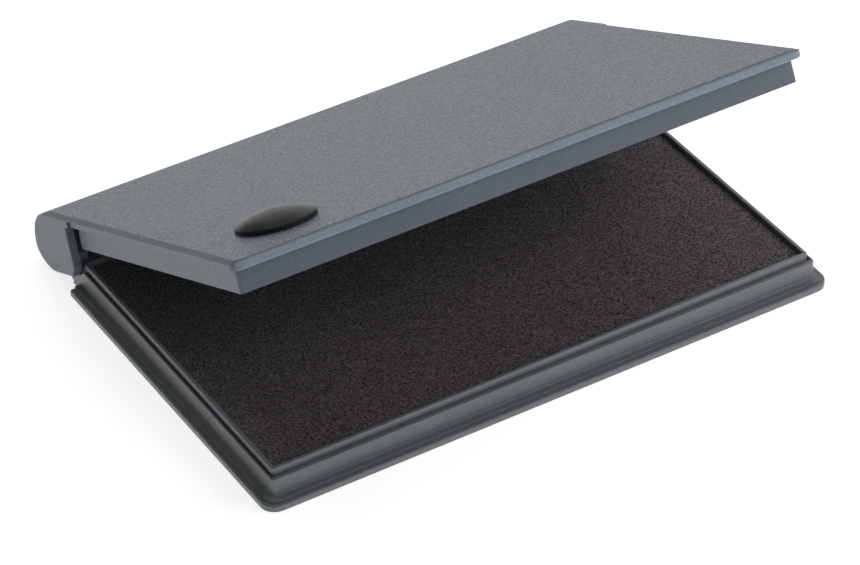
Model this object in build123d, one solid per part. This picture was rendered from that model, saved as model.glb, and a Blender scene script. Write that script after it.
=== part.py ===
from build123d import *
from math import acos, atan2, cos, degrees, hypot, radians, sin
import os

# Hinged ink pad for rubber stamps.
# Millimetres, +Z up, the lid's hinge at the rear (+Y).  The origin is the middle of the flat
# underside.  The lid is drawn closed and then turned open about the hinge line.

# ---- driving dimensions ----
flange_length = 118.0        # along X, the widest part of the base
flange_depth = 74.0          # along Y
flange_thickness = 1.3
flange_corner = 3.0          # radius of the two front corners
step_inset = 0.95            # raised step on the flange, from the flange's edge
step_height = 1.75
wall_inset = 2.2             # outer wall, from the flange's edge
wall_thickness = 0.95        # along the front
side_wall = 0.5
ledge_height = 5.4           # top of the outer wall, where the lid rests
floor_thickness = 1.2
seam = 0.25                  # gap between the base and the ink tray
rim_height = 6.7             # top of the ink tray's rim
rim_thickness = 0.75
rear_wall = 1.2
tail_length = 3.2            # side walls run on past the flange's rear end
hinge_y = 47.0
hinge_z = 7.8
pin_diameter = 2.0
running_clearance = 0.05     # radial, hinge pin in the lid's end cap
plate_thickness = 1.62
plate_inset = 1.1            # lid plate, from the flange's side edge
plate_overhang = 0.3         # lid plate, past the flange's front edge, as a lip for the finger
plate_corner = 2.0
bevel_run = 1.17             # bevel round the lid's top, measured along the top
bevel_drop = 0.47            # and down the side
skirt_height = 4.6
skirt_inset = 2.4
skirt_thickness = 0.45
cap_inset = 0.6              # end caps, from the flange's side edge
cap_thickness = 1.6          # end caps and barrel wall
lid_rest = 0.08              # air between the closed lid's skirt and the ledge
open_angle = 25.6            # how far the lid stands open
badge_diameter = 14.7
badge_height = 2.5
badge_edge = 0.85            # height of its straight side, below the dome
badge_x = -41.6
badge_y = -21.5              # with the lid closed
cloth_thickness = 0.4
edge_radius = 0.2            # moulded edges of the wall, rim, lid plate and badge
flange_edge_radius = 0.35
cove_radius = 0.4            # between the step and the wall
layer_corner = 1.0           # corners of the board, felts and cloth
ear_width = 2.2
eye_radius = 1.85            # the ear's round end, at the hinge line
ear_slot_gap = 0.5           # beside the ear, in the lid's barrel
cap_reach = 12.5             # the barrel's moulding runs this far forward of the hinge line
web_thickness = 1.0          # stiffening webs inside the barrel
web_pitch = 18.0
rib_thickness = 0.8          # sealing rib under the lid
rib_gap = 0.5                # sealing rib, inside the ink tray's rim
stem_radius = 1.95
stem_hole_radius = 2.05
coring_pitch = 22.0          # grid of shallow pockets in the underside
coring_size = (19.0, 18.0)
coring_depth = 0.4

# ---- worked out from them ----
half_x = flange_length / 2
front_y = -flange_depth / 2
rear_y = flange_depth / 2
wall_x = half_x - wall_inset
wall_front = front_y + wall_inset
tail_y = rear_y + tail_length
pocket_x = wall_x - side_wall
pocket_front = wall_front + wall_thickness
pocket_rear = rear_y - 0.3
tray_x = pocket_x - seam
tray_front = pocket_front + seam
tray_rear = pocket_rear - seam
tray_floor = floor_thickness + 0.8
skirt_bottom = ledge_height + lid_rest
plate_bottom = skirt_bottom + skirt_height
plate_top = plate_bottom + plate_thickness
plate_x = half_x - plate_inset
plate_front = front_y - plate_overhang
cap_x = half_x - cap_inset
cap_inner_x = cap_x - cap_thickness
HINGE = Axis((0, hinge_y, hinge_z), (1, 0, 0))


def block(x0, x1, y0, y1, z0, z1):
    """A plain block between two corners."""
    return Pos((x0 + x1) / 2, (y0 + y1) / 2, (z0 + z1) / 2) * Box(x1 - x0, y1 - y0, z1 - z0)


def slab(x, y0, y1, z0, z1, corner):
    """A block centred on X whose two front corners are rounded."""
    solid = block(-x, x, y0, y1, z0, z1)
    front = solid.edges().filter_by(Axis.Z).group_by(Axis.Y)[0]
    return fillet(front, corner)


def ridge(x, y0, y1, z0, z1, thickness, corner):
    """A closed rectangular ring standing between z0 and z1."""
    outer = Rectangle(2 * x, y1 - y0)
    outer = fillet(outer.vertices(), corner)
    inner = Rectangle(2 * (x - thickness), y1 - y0 - 2 * thickness)
    inner = fillet(inner.vertices(), max(corner - thickness, 0.3))
    return Pos(0, (y0 + y1) / 2, z0) * extrude(outer - inner, z1 - z0)


def profile(points, x0, x1):
    """A polygon of (y, z) points, extruded along X."""
    face = make_face(Polyline(*points, close=True))
    return prism(face, x0, x1)


def prism(face, x0, x1):
    """A sketch drawn with local x as Y and local y as Z, extruded from x0 to x1."""
    placed = Plane(origin=(x0, 0, 0), x_dir=(0, 1, 0), z_dir=(1, 0, 0)) * face
    return extrude(placed, x1 - x0)


def both_sides(shape):
    """The shape and its mirror image across the YZ plane."""
    return [shape, shape.mirror(Plane.YZ)]


def cylinder_x(radius, x0, x1, y=hinge_y, z=hinge_z):
    """A round bar along X."""
    return Pos((x0 + x1) / 2, y, z) * Rot(0, 90, 0) * Cylinder(radius, x1 - x0)


# ---- base ----
ear_outer_x = wall_x - 0.3
ear_inner_x = ear_outer_x - ear_width


def hinge_ear():
    """Arm from the tray's rear wall to the hinge line, ending in a round eye."""
    root = rear_y + rear_wall - 0.3
    side_view = [(root, 0.3), (root, hinge_z + 0.2), (hinge_y - 0.5, hinge_z + eye_radius - 0.1),
                 (hinge_y + 0.5, hinge_z - eye_radius + 0.1), (hinge_y - 6.0, 0.3)]
    arm = profile(side_view, ear_inner_x, ear_outer_x)
    ear = arm + cylinder_x(eye_radius, ear_inner_x, ear_outer_x)
    return ear - cylinder_x(pin_diameter / 2, ear_inner_x - 1, ear_outer_x + 1)


def base_tray():
    """Outer moulding: flange, step, coved wall with a ledge, hinge ears and underside ribs."""
    flange = slab(half_x, front_y, rear_y, 0, flange_thickness, flange_corner)
    flange = fillet(flange.edges().group_by(Axis.Z)[-1].sort_by(Axis.Y)[:-1], flange_edge_radius)
    step = slab(half_x - step_inset, front_y + step_inset, rear_y, 0.5, step_height,
                flange_corner - step_inset)
    wall = slab(wall_x, wall_front, rear_y + rear_wall, 0, ledge_height, flange_corner - wall_inset)
    body = flange + step + wall

    inner_corner = [e for e in body.edges()
                    if abs(e.center().Z - step_height) < 0.01
                    and (abs(abs(e.center().X) - wall_x) < 0.3 or abs(e.center().Y - wall_front) < 0.3)
                    and e.center().Y < rear_y - 0.5]
    body = fillet(inner_corner, cove_radius)

    for side in both_sides(block(wall_x - wall_thickness, wall_x, rear_y, tail_y, 0, ledge_height)):
        body += side
    body -= block(-pocket_x, pocket_x, pocket_front, pocket_rear, floor_thickness, ledge_height + 1)
    body = fillet(body.edges().group_by(Axis.Z)[-1].filter_by_position(Axis.Y, -99, rear_y), edge_radius)

    # the side walls slope down towards the hinge, clear of the lid's end caps
    slope = [(rear_y - 1.9, ledge_height + 0.1), (tail_y - 0.4, 1.1), (tail_y, 0),
             (tail_y + 9, 0), (tail_y + 9, ledge_height + 0.1)]
    for side in both_sides(profile(slope, wall_x - wall_thickness, wall_x + 1)):
        body -= side
    for side in both_sides(hinge_ear()):
        body += side

    # shallow grid of coring pockets in the underside, around a flat middle pad
    for column in range(-2, 3):
        for row in (-1, 0, 1):
            if (column, row) == (0, 0):
                continue
            half_depth = coring_size[1] / 2
            pocket = slab(coring_size[0] / 2, -half_depth, half_depth, -0.1, coring_depth, 1.5)
            body -= Pos(coring_pitch * column, coring_pitch * row, 0) * pocket
    return body


def ink_tray():
    """Inner tray whose rim shows as the raised frame around the pad."""
    outer = block(-tray_x, tray_x, tray_front, tray_rear, floor_thickness, rim_height)
    outer = fillet(outer.edges().filter_by(Axis.Z), 0.6)
    inner = block(-tray_x + rim_thickness, tray_x - rim_thickness,
                  tray_front + rim_thickness, tray_rear - rim_thickness, tray_floor, rim_height + 1)
    tray = outer - inner
    tray = fillet(tray.edges().group_by(Axis.Z)[-1], edge_radius)
    # low ribs that hold the backing board off the floor, so that spare ink can spread
    for x in range(-44, 45, 22):
        tray += block(x - 0.5, x + 0.5, tray_front + 3, tray_rear - 3, tray_floor, tray_floor + 0.3)
    return tray


# the stack inside the ink tray, from the bottom up
stack_gap = 0.15
stack_x = tray_x - rim_thickness - stack_gap
stack_front = tray_front + rim_thickness + stack_gap
stack_rear = tray_rear - rim_thickness - stack_gap
board_z = (tray_floor + 0.3, tray_floor + 0.8)
reservoir_z = (board_z[1], board_z[1] + 1.5)
felt_z = (reservoir_z[1], reservoir_z[1] + 1.1)
cloth_top = felt_z[1] + cloth_thickness


def layer(z, inset, corner):
    """One sheet of the stack."""
    sheet = block(-stack_x + inset, stack_x - inset, stack_front + inset, stack_rear - inset, *z)
    return fillet(sheet.edges().filter_by(Axis.Z), corner)


def cover_cloth():
    """The cloth over the upper felt, turned down round its edges."""
    outer = layer((felt_z[0], cloth_top), 0.0, layer_corner)
    outer = fillet(outer.edges().group_by(Axis.Z)[-1], 0.35)
    return outer - layer((felt_z[0] - 1, felt_z[1]), cloth_thickness, 0.6)


def hinge_pin(side):
    """Plain steel pin: pressed into the base's ear, running in the lid's end cap."""
    inner = ear_inner_x
    outer = cap_x - 0.6
    pin = cylinder_x(pin_diameter / 2, inner, outer)
    pin = chamfer(pin.edges(), 0.15)
    return pin if side > 0 else pin.mirror(Plane.YZ)


# ---- lid, drawn closed ----
roof = plate_top - hinge_z             # heights above the hinge line
barrel_radius = hinge_z - 0.15         # clears the table as the lid turns
crown_radius = 8.0
crown_y = -1.3                         # centre of the crown arc, behind is positive


def barrel_section():
    """Outline of the barrel and its end caps, as (y, z) about the hinge line."""
    crown_z = roof - crown_radius
    apart = hypot(crown_y, crown_z)
    along = (barrel_radius**2 - crown_radius**2 + apart**2) / (2 * apart)
    turn = atan2(crown_z, crown_y) + acos(along / barrel_radius)
    meet = (barrel_radius * cos(turn), barrel_radius * sin(turn))
    half_turn = (turn - radians(90)) / 2
    low_mid = (barrel_radius * cos(half_turn), barrel_radius * sin(half_turn))
    high_mid_angle = radians(45 + degrees(atan2(meet[1] - crown_z, meet[0] - crown_y)) / 2)
    high_mid = (crown_y + crown_radius * cos(high_mid_angle), crown_z + crown_radius * sin(high_mid_angle))
    under = plate_bottom - hinge_z
    outline = [
        Line((-cap_reach, roof), (crown_y, roof)),
        ThreePointArc((crown_y, roof), high_mid, meet),
        ThreePointArc(meet, low_mid, (0, -barrel_radius)),
        Line((0, -barrel_radius), (-7.8, -barrel_radius)),
        Line((-7.8, -barrel_radius), (-9.7, -barrel_radius + 1.75)),
        Line((-9.7, -barrel_radius + 1.75), (-10.9, under)),
        Line((-10.9, under), (-cap_reach, under)),
        Line((-cap_reach, under), (-cap_reach, roof)),
    ]
    face = make_face(Wire(outline))
    rear_corner = face.vertices().sort_by(lambda v: hypot(v.X - meet[0], v.Y - meet[1]))[0]
    return fillet(rear_corner, 2.5)


def barrel():
    """Hollow barrel along the hinge line, with an end cap at each side."""
    section = Pos(hinge_y, hinge_z) * barrel_section()
    core = offset(section, amount=-cap_thickness)
    under = plate_bottom
    mouth_y = hinge_y - 4.0
    mouth = Pos((mouth_y + hinge_y - 14) / 2, (under - 2) / 2) * Rectangle(10, under + 2)
    wall = section - core - mouth
    shell = prism(wall, -cap_inner_x, cap_inner_x)
    caps = prism(section, cap_inner_x, cap_x)
    caps = fillet(caps.faces().sort_by(Axis.X)[-1].edges().filter_by(
        lambda e: e.center().Y > hinge_y - 10.5 or e.center().Z < plate_bottom - 1), 0.25)
    # slots for the base's ears: the lower half of the barrel, beside each end cap
    slot_x = ear_inner_x - ear_slot_gap
    slot = block(slot_x, cap_inner_x, hinge_y - 12, hinge_y + 9, -1, hinge_z + 0.8)
    roof_room = block(slot_x, cap_inner_x, hinge_y - 12.6, hinge_y + 0.5, hinge_z - 2, under)
    solid = shell
    for side in both_sides(slot) + both_sides(roof_room):
        solid -= side
    for side in both_sides(caps):
        solid += side
    # stiffening webs inside the barrel
    web = prism(section & Pos(hinge_y + 4.2, hinge_z - 1.5) * Rectangle(5.6, 20),
                -web_thickness / 2, web_thickness / 2)
    for place in range(-2, 3):
        solid += Pos(web_pitch * place, 0, 0) * web
    bore = cylinder_x(pin_diameter / 2 + running_clearance, cap_inner_x - 1, cap_x - 0.5)
    for side in both_sides(bore):
        solid -= side
    return solid


def lid_shell():
    """Outer lid moulding: plate, skirt, sealing rib, barrel and end caps."""
    rear = hinge_y - cap_reach + 0.5
    plate = slab(plate_x, plate_front, rear, plate_bottom, plate_top, plate_corner)
    plate = fillet(plate.edges().group_by(Axis.Z)[0].sort_by(Axis.Y)[:-1], edge_radius)

    skirt_x = half_x - skirt_inset
    skirt_front = front_y + skirt_inset - 0.15
    skirt_rear = rear_y - 1.7
    skirt = ridge(skirt_x, skirt_front, skirt_rear, skirt_bottom, plate_bottom, skirt_thickness, 0.5)
    # the rear run of the skirt stays above the ink tray's rim
    skirt -= block(-skirt_x + skirt_thickness, skirt_x - skirt_thickness,
                   skirt_rear - 2, skirt_rear + 1, skirt_bottom - 1, rim_height + 0.25)
    # its side runs lean forward at their rear ends
    lean = [(skirt_rear + 0.1, skirt_bottom - 0.1), (skirt_rear + 0.1, plate_bottom),
            (skirt_rear - 1.6, plate_bottom)]
    skirt -= profile(lean, -skirt_x - 1, skirt_x + 1)

    rib_inset = rim_thickness + rib_gap
    rib = ridge(tray_x - rib_inset, tray_front + rib_inset, tray_rear - rib_inset,
                rim_height + 0.2, plate_bottom, rib_thickness, 1.0)
    solid = plate + skirt + rib + barrel() - bevel()
    stem_hole = Pos(badge_x, badge_y, plate_bottom) * Cylinder(stem_hole_radius, 6)
    return solid - stem_hole


def bevel():
    """What the bevel takes off the lid's top: a slope along the front and both sides, round the corners."""
    rear = hinge_y + 4.0
    top = slab(plate_x + 3, plate_front - 3, rear, plate_top - bevel_drop, plate_top + 1, plate_corner + 3)
    foot_rear = rear + 20
    foot = Rectangle(2 * plate_x, foot_rear - plate_front)
    foot = fillet(foot.vertices(), plate_corner)
    foot = Pos(0, (plate_front + foot_rear) / 2, plate_top - bevel_drop) * foot
    kept = extrude(foot, bevel_drop, taper=degrees(atan2(bevel_run, bevel_drop)))
    return top - kept


def lid_liner():
    """Thin inner sheet inside the sealing rib, over the pad when the lid is shut."""
    margin = rim_thickness + rib_gap + rib_thickness + 0.2
    sheet = block(-tray_x + margin, tray_x - margin, tray_front + margin, tray_rear - margin,
                  plate_bottom - 0.6, plate_bottom)
    sheet = fillet(sheet.edges().filter_by(Axis.Z), 1.0)
    return sheet - Pos(badge_x, badge_y, plate_bottom) * Cylinder(3.2, 4)


def badge():
    """Domed colour button with a stem that snaps through the lid."""
    radius = badge_diameter / 2
    rise = badge_height - badge_edge
    ball_radius = (radius**2 + rise**2) / (2 * rise)
    button = Pos(0, 0, badge_height / 2) * Cylinder(radius, badge_height)
    button &= Pos(0, 0, badge_height - ball_radius) * Sphere(ball_radius)
    shoulder = button.edges().filter_by(lambda e: abs(e.center().Z - badge_edge) < 0.01)
    button = fillet(shoulder, edge_radius)
    stem = Pos(0, 0, -plate_thickness / 2) * Cylinder(stem_radius, plate_thickness)
    head = Pos(0, 0, -plate_thickness - 0.25) * Cone(1.7, 2.4, 0.5)
    return Pos(badge_x, badge_y, plate_top) * (button + stem + head)


def opened(shape):
    """Turn a lid piece from closed to the angle at which it stands open."""
    return shape.rotate(HINGE, -open_angle)


nodes = {
    "base_tray": base_tray(),
    "ink_tray": ink_tray(),
    "backing_board": layer(board_z, 0.2, layer_corner),
    "reservoir_felt": layer(reservoir_z, 0.1, layer_corner),
    "surface_felt": layer(felt_z, cloth_thickness + 0.05, 0.6),
    "pad_cloth": cover_cloth(),
    "hinge_pin_left": hinge_pin(-1),
    "hinge_pin_right": hinge_pin(1),
    "lid_shell": opened(lid_shell()),
    "lid_liner": opened(lid_liner()),
    "colour_badge": opened(badge()),
}

os.makedirs("parts", exist_ok=True)
for name, shape in nodes.items():
    export_step(shape, f"parts/{name}.step")
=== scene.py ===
import math

import bmesh
import bpy
from mathutils import Matrix, Quaternion, Vector, noise


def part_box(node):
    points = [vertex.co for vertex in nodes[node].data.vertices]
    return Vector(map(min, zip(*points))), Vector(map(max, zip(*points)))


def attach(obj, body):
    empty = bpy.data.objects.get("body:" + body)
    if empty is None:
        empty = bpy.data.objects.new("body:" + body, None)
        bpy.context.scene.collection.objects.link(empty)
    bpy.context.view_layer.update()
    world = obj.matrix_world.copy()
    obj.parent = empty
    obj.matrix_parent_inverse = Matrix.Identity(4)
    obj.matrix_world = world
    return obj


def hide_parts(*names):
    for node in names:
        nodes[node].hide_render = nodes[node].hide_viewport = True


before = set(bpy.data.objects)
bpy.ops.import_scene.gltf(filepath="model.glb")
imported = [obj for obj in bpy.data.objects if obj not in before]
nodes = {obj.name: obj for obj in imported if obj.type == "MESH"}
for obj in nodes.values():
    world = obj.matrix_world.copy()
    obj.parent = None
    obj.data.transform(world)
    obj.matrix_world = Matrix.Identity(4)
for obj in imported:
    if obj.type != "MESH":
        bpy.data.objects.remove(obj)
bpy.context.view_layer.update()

# Hinged ink pad for rubber stamps, standing open.  Metres, +Z up, in the CAD model's frame.
# The moulded parts are the CAD's own.  The cloth and the felts are drawn here.

scene = bpy.context.scene
mm = 0.001


def link(piece):
    """Puts a new object into the scene."""
    scene.collection.objects.link(piece)
    return piece


# ---- camera, floor and light ----

def add_camera():
    """A long lens from the front left, a little above the open lid."""
    eye = Vector((-0.3023, -0.5154, 0.4601))
    target = Vector((-0.00414, 0.00004, 0.00369))
    roll = math.radians(-1.94)
    data = bpy.data.cameras.new("camera")
    data.sensor_width = 36.0
    data.lens = 172.4
    data.clip_start = 0.01
    data.clip_end = 20.0
    camera = link(bpy.data.objects.new("camera", data))
    camera.location = eye
    camera.rotation_mode = "QUATERNION"
    aim = (target - eye).to_track_quat("-Z", "Y")
    camera.rotation_quaternion = aim @ Quaternion((0, 0, 1), roll)
    scene.camera = camera


def from_grid(name, columns, rows, place):
    """A sheet of quads.  place(x, y) gives the point for each value of columns and rows."""
    mesh = bpy.data.meshes.new(name)
    shape = bmesh.new()
    lines = [[shape.verts.new(place(x, y)) for x in columns] for y in rows]
    for lower, upper in zip(lines, lines[1:]):
        for i in range(len(columns) - 1):
            shape.faces.new((lower[i], lower[i + 1], upper[i + 1], upper[i])).smooth = True
    shape.to_mesh(mesh)
    shape.free()
    return link(bpy.data.objects.new(name, mesh))


def add_floor():
    """A white floor that glows a little, well past the camera's view on every side."""
    metre_marks = range(-4, 5)
    floor = from_grid("floor", metre_marks, metre_marks, lambda x, y: (x, y, 0))
    material, _, shader, _ = start_material("studio_floor", (0.90, 0.90, 0.90), 0.9)
    shader.inputs["Specular IOR Level"].default_value = 0.1
    shader.inputs["Emission Color"].default_value = (1, 1, 1, 1)
    shader.inputs["Emission Strength"].default_value = floor_glow
    wear(floor, material)


def softbox(name, azimuth, elevation, distance, size, power):
    """A square area light that faces the object.  Azimuth 0 is in front and 90 is on the right."""
    around, up = math.radians(azimuth), math.radians(elevation)
    towards = Vector((math.sin(around) * math.cos(up), -math.cos(around) * math.cos(up), math.sin(up)))
    data = bpy.data.lights.new(name, "AREA")
    data.size = size
    data.energy = power
    lamp = link(bpy.data.objects.new(name, data))
    lamp.visible_camera = False
    lamp.location = towards * distance
    lamp.rotation_mode = "QUATERNION"
    lamp.rotation_quaternion = (-towards).to_track_quat("-Z", "Y")


floor_glow = 0.72
sky = 0.05

# name, azimuth and elevation in degrees, distance and size in metres, power in watts
softboxes = [
    ("top_rear", 170, 60, 1.6, 1.2, 6.0),
    ("rear", 158, 14, 1.6, 0.9, 3.0),
    ("right_rear", 120, 35, 1.6, 0.9, 2.0),
    ("right_front", 55, 32, 0.35, 0.22, 0.40),
    ("front", -10, 45, 1.2, 0.7, 1.2),
]


def add_light():
    """Dim, even surroundings and the softboxes."""
    world = bpy.data.worlds.new("studio")
    scene.world = world
    world.use_nodes = True
    background = world.node_tree.nodes["Background"]
    background.inputs["Color"].default_value = (1, 1, 1, 1)
    background.inputs["Strength"].default_value = sky
    for settings in softboxes:
        softbox(*settings)
    scene.view_settings.view_transform = "Standard"


# ---- materials ----

def add_node(tree, kind, sockets, **settings):
    """A shader node.  sockets gives each input a value or the output that feeds it."""
    made = tree.nodes.new(kind)
    for key, value in settings.items():
        setattr(made, key, value)
    for key, value in sockets.items():
        if isinstance(value, bpy.types.NodeSocket):
            tree.links.new(value, made.inputs[key])
        else:
            made.inputs[key].default_value = value
    return made


def start_material(name, colour, roughness):
    """A fresh material, with its node tree, its shader and the part-frame coordinates in metres.

    The plain colour and roughness stay on the shader for viewers that don't read its nodes.
    """
    material = bpy.data.materials.new(name)
    material.use_nodes = True
    material.diffuse_color = (*colour, 1)
    tree = material.node_tree
    shader = tree.nodes["Principled BSDF"]
    shader.inputs["Base Color"].default_value = (*colour, 1)
    shader.inputs["Roughness"].default_value = roughness
    where = add_node(tree, "ShaderNodeTexCoord", {})
    return material, tree, shader, where.outputs["Object"]


def wear(piece, material):
    """Puts the material on the whole piece."""
    if not piece.material_slots:
        piece.data.materials.append(material)
    for slot in piece.material_slots:
        slot.material = material


def grain(tree, where, size, detail=2.0, roughness=0.6):
    """Fine noise with features about size metres across, from 0 to 1."""
    texture = add_node(tree, "ShaderNodeTexNoise",
                       {"Vector": where, "Scale": 1 / size, "Detail": detail, "Roughness": roughness})
    return texture.outputs["Fac"]


def remap(tree, value, low, high, to_low, to_high):
    """value from low..high to to_low..to_high, kept inside them."""
    made = add_node(tree, "ShaderNodeMapRange",
                    {"Value": value, "From Min": low, "From Max": high, "To Min": to_low, "To Max": to_high})
    return made.outputs["Result"]


def vary(tree, noise_value, to_low, to_high):
    """A noise as a value from to_low to to_high.  Nearly all of a noise lies between 0.3 and 0.7."""
    return remap(tree, noise_value, 0.3, 0.7, to_low, to_high)


def times(tree, a, b):
    """a times b, where b may be a plain number."""
    return add_node(tree, "ShaderNodeMath", {0: a, 1: b}, operation="MULTIPLY").outputs["Value"]


def plus(tree, a, b):
    """a plus b, where b may be a plain number."""
    return add_node(tree, "ShaderNodeMath", {0: a, 1: b}, operation="ADD").outputs["Value"]


def along(tree, vector, direction):
    """How far a vector reaches along a direction."""
    made = add_node(tree, "ShaderNodeVectorMath", {0: vector, 1: direction}, operation="DOT_PRODUCT")
    return made.outputs["Value"]


def colour_by(tree, shader, colour, brightness):
    """The base colour times a brightness that varies over the surface."""
    made = add_node(tree, "ShaderNodeVectorMath", {0: colour, "Scale": brightness}, operation="SCALE")
    tree.links.new(made.outputs["Vector"], shader.inputs["Base Color"])


def bump_by(tree, shader, height, strength, distance):
    """Raises the surface by a height that varies over it."""
    bump = add_node(tree, "ShaderNodeBump", {"Height": height, "Strength": strength, "Distance": distance})
    tree.links.new(bump.outputs["Normal"], shader.inputs["Normal"])


def moulded_plastic(name, colour, roughness, grained=None, speckle=0.14, painted_light_past=None):
    """Injection-moulded plastic: satin, with a spark-eroded grain on the face that points along grained.

    The last argument is a direction and a distance along it; past that distance the colour is made up to
    1.95 times lighter, as painted light for the lid's lip, not wear.
    """
    material, tree, shader, where = start_material(name, colour, roughness)
    fine = grain(tree, where, 0.42 * mm)
    pits = grain(tree, where, 0.9 * mm, detail=1.0)
    cloud = grain(tree, where, 22 * mm, detail=3.0)
    if grained:
        normal = add_node(tree, "ShaderNodeTexCoord", {}).outputs["Normal"]
        strength = remap(tree, along(tree, normal, grained), 0.95, 0.99, 0.15, 1.0)
    else:
        strength = 0.35
    fine_light = times(tree, vary(tree, fine, -speckle, speckle), strength)
    light = plus(tree, fine_light, vary(tree, cloud, 0.96, 1.04))
    # Painted light: past the given reach the colour is made lighter, standing in for the light that falls on
    # the lid's lip.
    if painted_light_past:
        direction, reach = painted_light_past
        painted_light_gain = remap(tree, along(tree, where, direction), reach - 0.3 * mm, reach, 1.0, 1.95)
        light = times(tree, light, painted_light_gain)
    colour_by(tree, shader, colour, light)
    rough = plus(tree, vary(tree, pits, -0.05, 0.05), roughness)
    tree.links.new(rough, shader.inputs["Roughness"])
    bump_by(tree, shader, plus(tree, fine, times(tree, pits, 0.6)), strength, 0.20 * mm)
    return material


def inked_fabric(name, colour, fibre, depth):
    """Ink-soaked felt or cloth: a tangle of short fibres, damp enough to glint here and there."""
    material, tree, shader, where = start_material(name, colour, 0.8)
    tangle = grain(tree, where, fibre, detail=4.0, roughness=0.75)
    tufts = grain(tree, where, 4 * fibre)
    patches = grain(tree, where, 14 * mm, detail=3.0)
    broad_light = times(tree, vary(tree, tufts, 0.85, 1.15), vary(tree, patches, 0.93, 1.07))
    fibre_light = remap(tree, tangle, 0.38, 0.62, 0.10, 2.3)
    colour_by(tree, shader, colour, times(tree, fibre_light, broad_light))
    tree.links.new(vary(tree, tangle, 0.95, 0.60), shader.inputs["Roughness"])
    bump_by(tree, shader, plus(tree, tangle, tufts), 0.9, depth)
    shader.inputs["Specular IOR Level"].default_value = 0.3
    shader.inputs["Sheen Weight"].default_value = 0.10
    shader.inputs["Sheen Roughness"].default_value = 0.5
    return material


def polished_plastic(name, colour):
    """Smooth moulded button, with the faint ripple and dust of a used one."""
    material, tree, shader, where = start_material(name, colour, 0.2)
    ripple = grain(tree, where, 3.5 * mm, detail=1.0)
    dust = grain(tree, where, 0.5 * mm, detail=3.0)
    colour_by(tree, shader, colour, remap(tree, dust, 0.4, 0.75, 0.9, 1.6))
    tree.links.new(vary(tree, dust, 0.26, 0.34), shader.inputs["Roughness"])
    bump_by(tree, shader, ripple, 0.15, 0.05 * mm)
    shader.inputs["Specular IOR Level"].default_value = 0.1
    return material


def turned_steel(name):
    """Drawn wire: fine lines round the pin."""
    colour = (0.52, 0.52, 0.53)
    material, tree, shader, where = start_material(name, colour, 0.35)
    stretch = add_node(tree, "ShaderNodeMapping", {"Vector": where, "Scale": (1, 12, 12)})
    lines = grain(tree, stretch.outputs["Vector"], 1.2 * mm, detail=4.0)
    colour_by(tree, shader, colour, vary(tree, lines, 0.8, 1.15))
    tree.links.new(vary(tree, lines, 0.25, 0.42), shader.inputs["Roughness"])
    shader.inputs["Metallic"].default_value = 1.0
    return material


def fibreboard(name):
    """Grey board with flecks of lighter and darker pulp."""
    colour = (0.16, 0.13, 0.10)
    material, tree, shader, where = start_material(name, colour, 0.85)
    pulp = grain(tree, where, 0.8 * mm, detail=4.0)
    stain = grain(tree, where, 18 * mm)
    ink_stain = remap(tree, stain, 0.35, 0.65, 0.35, 1.0)
    colour_by(tree, shader, colour, times(tree, vary(tree, pulp, 0.7, 1.3), ink_stain))
    bump_by(tree, shader, pulp, 0.6, 0.08 * mm)
    return material


open_angle = math.radians(25.6)     # the lid as it stands in the frame
lid_face = Vector((0, math.sin(open_angle), math.cos(open_angle)))
lid_front = Vector((0, -math.cos(open_angle), math.sin(open_angle)))
lip_reach = 44.9 * mm     # the lid's lip begins this far along lid_front

finishes = {
    "base_plastic": moulded_plastic("base_plastic", (0.172, 0.185, 0.195), 0.40, speckle=0.4),
    "tray_plastic": moulded_plastic("tray_plastic", (0.225, 0.240, 0.255), 0.34),
    # The lid's lip is coloured lighter here as painted light.
    "lid_plastic": moulded_plastic("lid_plastic", (0.130, 0.158, 0.194), 0.45, grained=lid_face, speckle=0.8,
                                   painted_light_past=(lid_front, lip_reach)),
    "liner_sheet": moulded_plastic("liner_sheet", (0.07, 0.07, 0.072), 0.35, speckle=0.05),
    "badge_plastic": polished_plastic("badge_plastic", (0.028, 0.027, 0.027)),
    "pin_steel": turned_steel("pin_steel"),
    "board": fibreboard("board"),
    "inked_cloth": inked_fabric("inked_cloth", (0.091, 0.077, 0.086), 0.45 * mm, 0.25 * mm),
    "inked_felt": inked_fabric("inked_felt", (0.070, 0.060, 0.068), 0.8 * mm, 0.35 * mm),
}


def finish_cad_parts():
    """Gives each CAD node the finish of its own slot."""
    slot_of = {
        "base_tray": "base_plastic",
        "ink_tray": "tray_plastic",
        "lid_shell": "lid_plastic",
        "lid_liner": "liner_sheet",
        "colour_badge": "badge_plastic",
        "hinge_pin_left": "pin_steel",
        "hinge_pin_right": "pin_steel",
        "backing_board": "board",
    }
    for name, slot in slot_of.items():
        wear(nodes[name], finishes[slot])


# ---- the pad ----

def apply_modifiers(piece):
    """Turns the piece's modifiers into plain mesh."""
    shown = piece.evaluated_get(bpy.context.evaluated_depsgraph_get())
    mesh = bpy.data.meshes.new_from_object(shown)
    piece.modifiers.clear()
    old = piece.data
    piece.data = mesh
    bpy.data.meshes.remove(old)


def evenly(start, end, spacing):
    """Values from start to end, about spacing apart."""
    count = round((end - start) / spacing)
    return [start + (end - start) * i / count for i in range(count + 1)]


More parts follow.
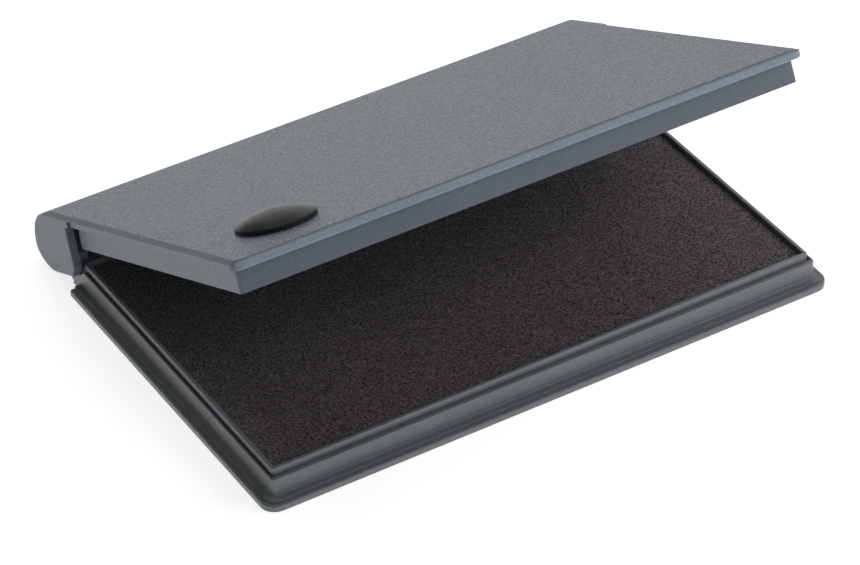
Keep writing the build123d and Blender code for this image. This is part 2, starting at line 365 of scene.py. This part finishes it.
def rounded_slab(name, low, high, spacing, edge):
    """A closed slab with rounded edges."""
    xs = evenly(low.x, high.x, spacing)
    ys = evenly(low.y, high.y, spacing)

    def shift(x, y):
        """How far the rounding moves this point in from the top or the underside."""
        near = min(x - low.x, high.x - x, y - low.y, high.y - y)
        return edge - math.sqrt(edge**2 - max(edge - near, 0.0) ** 2)

    mesh = bpy.data.meshes.new(name)
    shape = bmesh.new()
    top = [[shape.verts.new((x, y, high.z - shift(x, y))) for x in xs] for y in ys]
    under = [[shape.verts.new((x, y, low.z + 0.5 * shift(x, y))) for x in xs] for y in ys]
    for j in range(len(ys) - 1):
        for i in range(len(xs) - 1):
            ring = ((j, i), (j, i + 1), (j + 1, i + 1), (j + 1, i))
            shape.faces.new([top[a][b] for a, b in ring])
            shape.faces.new([under[a][b] for a, b in reversed(ring)])
    last_j, last_i = len(ys) - 1, len(xs) - 1
    border = ([(0, i) for i in range(last_i)] + [(j, last_i) for j in range(last_j)]
              + [(last_j, i) for i in range(last_i, 0, -1)] + [(j, 0) for j in range(last_j, 0, -1)])
    for (a, b), (c, d) in zip(border, border[1:] + border[:1]):
        shape.faces.new((under[a][b], under[c][d], top[c][d], top[a][b]))
    for face in shape.faces:
        face.smooth = True
    shape.to_mesh(mesh)
    shape.free()
    return link(bpy.data.objects.new(name, mesh))


def roughen(piece, size, height):
    """Moves each point along its normal by noise of that size and height."""
    mesh = piece.data
    normals = [vertex.normal.copy() for vertex in mesh.vertices]
    for vertex, normal in zip(mesh.vertices, normals):
        value = noise.noise(vertex.co / size) + 0.5 * noise.noise(vertex.co * 2.3 / size)
        vertex.co += normal * (height * value)
    mesh.update()


def add_felt(name, node):
    """One felt layer, in place of its CAD block."""
    low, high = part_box(node)
    margin = Vector((0.1, 0.1, 0.03)) * mm
    felt = rounded_slab(name, low + margin, high - margin, 0.9 * mm, 0.3 * mm)
    roughen(felt, 1.6 * mm, 0.04 * mm)
    wear(felt, finishes["inked_felt"])
    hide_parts(node)
    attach(felt, "base")


cloth_thickness = 0.3 * mm
cloth_drop = 0.05 * mm    # the cloth lies this far below its CAD block's top, which leaves room for its nap
tuck = 1.3 * mm           # how far it turns down inside the rim
drawing_scale = 20.0      # the flat cloth is drawn this much larger, then shrunk


def cloth_marks(half):
    """Grid lines across the flat cloth: close together at the fold, so that it stays crisp."""
    fold = [half - 0.5 * mm, half - 0.12 * mm, half + 0.12 * mm, half + 0.6 * mm, half + tuck]
    inner = evenly(-half + 1.4 * mm, half - 1.4 * mm, 2.0 * mm)
    return [-mark for mark in reversed(fold)] + inner + fold


def add_cloth():
    """The cloth over the felts, drawn stretched flat with its margin turned down inside the rim."""
    low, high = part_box("pad_cloth")
    middle = (low + high) / 2
    half_x, half_y = (high.x - low.x) / 2, (high.y - low.y) / 2
    top = high.z - cloth_drop

    def place(x, y):
        """Flat over the felt, with the margin folded straight down."""
        over = max(abs(x) - half_x, abs(y) - half_y, 0.0)
        x = max(-half_x, min(half_x, x))
        y = max(-half_y, min(half_y, y))
        return Vector((middle.x + x, middle.y + y, top - over)) * drawing_scale

    cloth = from_grid("inked_cloth", cloth_marks(half_x), cloth_marks(half_y), place)
    cloth.data.transform(Matrix.Scale(1 / drawing_scale, 4))
    smooth = cloth.modifiers.new("smooth", "SUBSURF")
    smooth.levels = 2
    apply_modifiers(cloth)
    roughen(cloth, 0.75 * mm, 0.05 * mm)
    thick = cloth.modifiers.new("thick", "SOLIDIFY")
    thick.thickness = cloth_thickness
    thick.offset = -1
    apply_modifiers(cloth)
    wear(cloth, finishes["inked_cloth"])
    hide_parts("pad_cloth")
    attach(cloth, "base")


add_camera()
add_floor()
add_light()
finish_cad_parts()
add_felt("lower_felt", "reservoir_felt")
add_felt("upper_felt", "surface_felt")
add_cloth()
